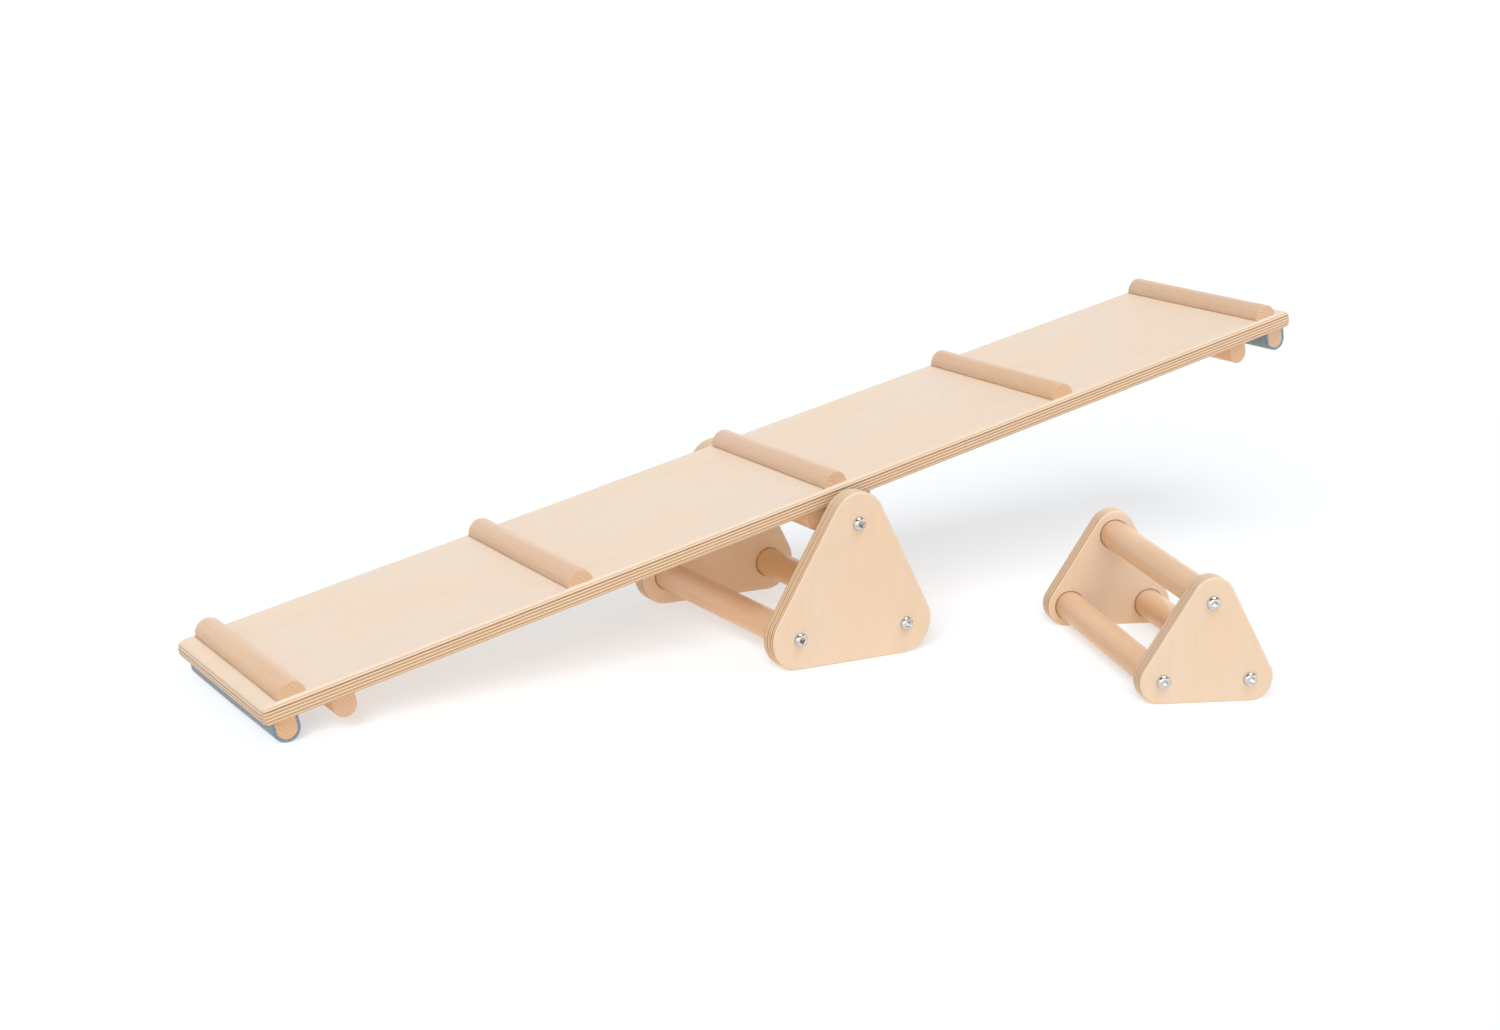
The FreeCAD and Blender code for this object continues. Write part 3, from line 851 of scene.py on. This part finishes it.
screw = {
    "headRadius": 3.8 * mm,
    "headHeight": 2.2 * mm,
    "shankRadius": 1.9 * mm,
    "length": 12 * mm,        # the rest is out of sight in the wood
    "crossWidth": 1.0 * mm,
    "crossLength": 4.4 * mm,
    "crossDepth": 1.3 * mm,
    "rimEase": (0.15 * mm, 0.2 * mm),     # across and along
    "sunk": 0.02 * mm,        # how far a flush head lies inside the plank's underside
    "sides": 32,
    "seeds": (7, 11),
}


def screwShape():
    # countersunk head upwards with a cross recess, its face at z = 0
    cfg = screw
    head, shank, (across, along) = cfg["headRadius"], cfg["shankRadius"], cfg["rimEase"]
    profile = [(0, -cfg["length"]), (shank, -cfg["length"]), (shank, -cfg["headHeight"]), (head, -along),
               (head - across, 0), (0, 0)]
    piece = lathe(profile, cfg["sides"], "screwShape")
    cross = bmesh.new()
    for turn in (0, math.pi / 2):
        size = Matrix.Diagonal((cfg["crossLength"], cfg["crossWidth"], 2 * cfg["crossDepth"], 1))
        bmesh.ops.create_cube(cross, size=1.0, matrix=Matrix.Rotation(turn, 4, "Z") @ size)
    return cutFrom(piece, meshFrom(cross, "cross"))


wells = []
for node in battenNodes:
    low, high = levelBox("plank", node)
    wells += [(((low.x + high.x) / 2, y, low.z + batten["wellDepth"]), (0, 0, -1)) for y in screwYs]
flush = [((x, y, z + screw["sunk"]), (0, 0, -1)) for x, y, z in rungScrewSpots()]
battenScrewNodes = ["end_batten_screws", "hook_batten_screws", "cradle_batten_screws"]
for name, spots, nodes, seed in (("rungScrews", flush, ["rung_screws"], screw["seeds"][0]),
                                 ("battenScrews", wells, battenScrewNodes, screw["seeds"][1])):
    setShapes(name, screwShape(), spots, "plank", nodes, "zinc", math.tau, seed)

for name, inserts in frame["nodes"].items():
    if "_inserts_" in name:                    # their shape is right as it is, out of sight in the dowels
        for materialSlot in inserts.material_slots:
            materialSlot.material = finishes["zinc"]
print("fasteners made")


studio = {
    "floorSize": 30.0,
    "floorDrop": 0.1 * mm,    # below the object's feet
    "paper": "#ECF3FB",
    "whiteLevel": 1.07,
    "shade": 0.47,            # share of the floor's own shading that the eye sees, the rest is plain white
    "whiteFrom": 1.4,         # m from the middle, where the floor starts to turn plain white
    "whiteTo": 2.6,
    "bounce": "#EBDCC8",      # what the floor sends back to the object
    "glow": "#FFE1BC",
    "glowShare": 0.4,         # how far the floor lights the object from below even in its own shadow
    "skyFill": 0.50,
    "horizon": 1.3,           # how bright the horizon and the dim ceiling are in reflections
    "ceiling": 0.12,
    "ceilingRise": (0.3, 0.7),        # where one turns into the other, by how far up a direction points
    # the key light comes from above, the front light fills what faces the viewer, and the shadow light is the
    # only one that the floor takes; softness in degrees
    "key": {"source": (0.1, -0.25, 1.0), "strength": 1.65, "softness": 38},
    "front": {"source": (-0.6, -1.0, 0.2), "strength": 1.0, "softness": 50},
    "shadow": {"source": (-1.0, -1.1, 1.0), "strength": 3.3, "softness": 30},
}


def makeFloor():
    # white paper, plain white far off and with the object's soft shadow near by; the object itself sees a
    # warmer floor, which lights it from below
    bm = bmesh.new()
    bmesh.ops.create_grid(bm, x_segments=2, y_segments=2, size=studio["floorSize"],
                          matrix=Matrix.Translation((0, 0, -studio["floorDrop"])))
    floor = looseObject(meshFrom(bm, "floor"))
    material, tree = newTree("paperSweep")
    source = addNode(tree, "ShaderNodeTexCoord").outputs
    away = addNode(tree, "ShaderNodeVectorMath", {"operation": "LENGTH"}, [source["Object"]])
    shade = addNode(tree, "ShaderNodeMapRange", {"interpolation_type": "SMOOTHSTEP"},
                    [away, studio["whiteFrom"], studio["whiteTo"], studio["shade"], 0.0])
    rays = addNode(tree, "ShaderNodeLightPath").outputs
    seen = addNode(tree, "ShaderNodeMath", {"operation": "MAXIMUM"},
                   [rays["Is Camera Ray"], rays["Is Glossy Ray"]])
    paper = addNode(tree, "ShaderNodeBsdfDiffuse", inputs={"Color": studio["paper"]})
    glow = addNode(tree, "ShaderNodeEmission", inputs={"Color": "#FFFFFF", "Strength": studio["whiteLevel"]})
    white = addNode(tree, "ShaderNodeMixShader", inputs=[shade, glow, paper])
    bounce = addNode(tree, "ShaderNodeBsdfDiffuse", inputs={"Color": studio["bounce"]})
    warm = addNode(tree, "ShaderNodeEmission", inputs={"Color": studio["glow"], "Strength": 1.0})
    below = addNode(tree, "ShaderNodeMixShader", inputs=[studio["glowShare"], bounce, warm])
    both = addNode(tree, "ShaderNodeMixShader", inputs=[seen, below, white])
    addNode(tree, "ShaderNodeOutputMaterial", inputs={"Surface": both})
    floor.data.materials.append(material)
    return floor


def makeWorld():
    # white to the eye, an even fill on the object, and a bright horizon under a dim ceiling in reflections
    world = bpy.data.worlds.new("studio")
    bpy.context.scene.world = world
    world.use_nodes = True
    tree = world.node_tree
    tree.nodes.clear()
    direction = addNode(tree, "ShaderNodeTexCoord").outputs["Generated"]
    up = addNode(tree, "ShaderNodeSeparateXYZ", inputs=[direction]).outputs["Z"]
    reflected = addNode(tree, "ShaderNodeMapRange",
                        inputs=[up, *studio["ceilingRise"], studio["horizon"], studio["ceiling"]])
    rays = addNode(tree, "ShaderNodeLightPath").outputs
    seen = addNode(tree, "ShaderNodeMath", {"operation": "MAXIMUM"},
                   [rays["Is Camera Ray"], rays["Is Transmission Ray"]])
    plain = addNode(tree, "ShaderNodeMix", {"data_type": "FLOAT"}, [seen, studio["skyFill"], 1.0])
    level = addNode(tree, "ShaderNodeMix", {"data_type": "FLOAT"}, [rays["Is Glossy Ray"], plain, reflected])
    sky = addNode(tree, "ShaderNodeBackground", inputs={"Color": "#FFFFFF", "Strength": level})
    addNode(tree, "ShaderNodeOutputWorld", inputs={"Surface": sky})


def makeSun(name, floor, state):
    # state is INCLUDE to light only the floor, and EXCLUDE to light all but the floor
    cfg = studio[name]
    light = bpy.data.lights.new(name + "Light", "SUN")
    light.energy, light.angle = cfg["strength"], math.radians(cfg["softness"])
    lamp = bpy.data.objects.new(name + "Light", light)
    lamp.rotation_mode = "QUATERNION"
    lamp.rotation_quaternion = Vector(cfg["source"]).to_track_quat("Z", "Y")
    bpy.context.scene.collection.objects.link(lamp)
    receivers = bpy.data.collections.new(name + "Receivers")
    receivers.objects.link(floor)
    receivers.collection_objects[0].light_linking.link_state = state
    lamp.light_linking.receiver_collection = receivers


lookout = {
    "place": (-1.24425, -1.87940, 0.68508),
    "heading": 0.5706,        # radians from +Y towards +X
    "pitch": -0.2476,
    "roll": 0.0339,
    "lens": 55.135,           # mm, like the sensor's width
    "sensor": 36.0,
    "sight": 100.0,           # m
}


def makeCamera():
    heading, pitch, roll = lookout["heading"], lookout["pitch"], lookout["roll"]
    ahead = Vector((math.sin(heading), math.cos(heading), 0))
    forward = ahead * math.cos(pitch) + Vector((0, 0, math.sin(pitch)))
    level = Vector((math.cos(heading), -math.sin(heading), 0))
    upright = level.cross(forward)
    right = level * math.cos(roll) + upright * math.sin(roll)
    up = upright * math.cos(roll) - level * math.sin(roll)
    data = bpy.data.cameras.new("camera")
    data.lens, data.sensor_width, data.clip_end = lookout["lens"], lookout["sensor"], lookout["sight"]
    camera = bpy.data.objects.new("camera", data)
    turn = Matrix((right, up, -forward)).transposed().to_4x4()
    camera.matrix_world = Matrix.Translation(lookout["place"]) @ turn
    bpy.context.scene.collection.objects.link(camera)
    bpy.context.scene.camera = camera


floor = makeFloor()
makeWorld()
makeSun("key", floor, "EXCLUDE")
makeSun("front", floor, "EXCLUDE")
makeSun("shadow", floor, "INCLUDE")
makeCamera()
bpy.context.scene.view_settings.view_transform = "Standard"
print("studio ready")
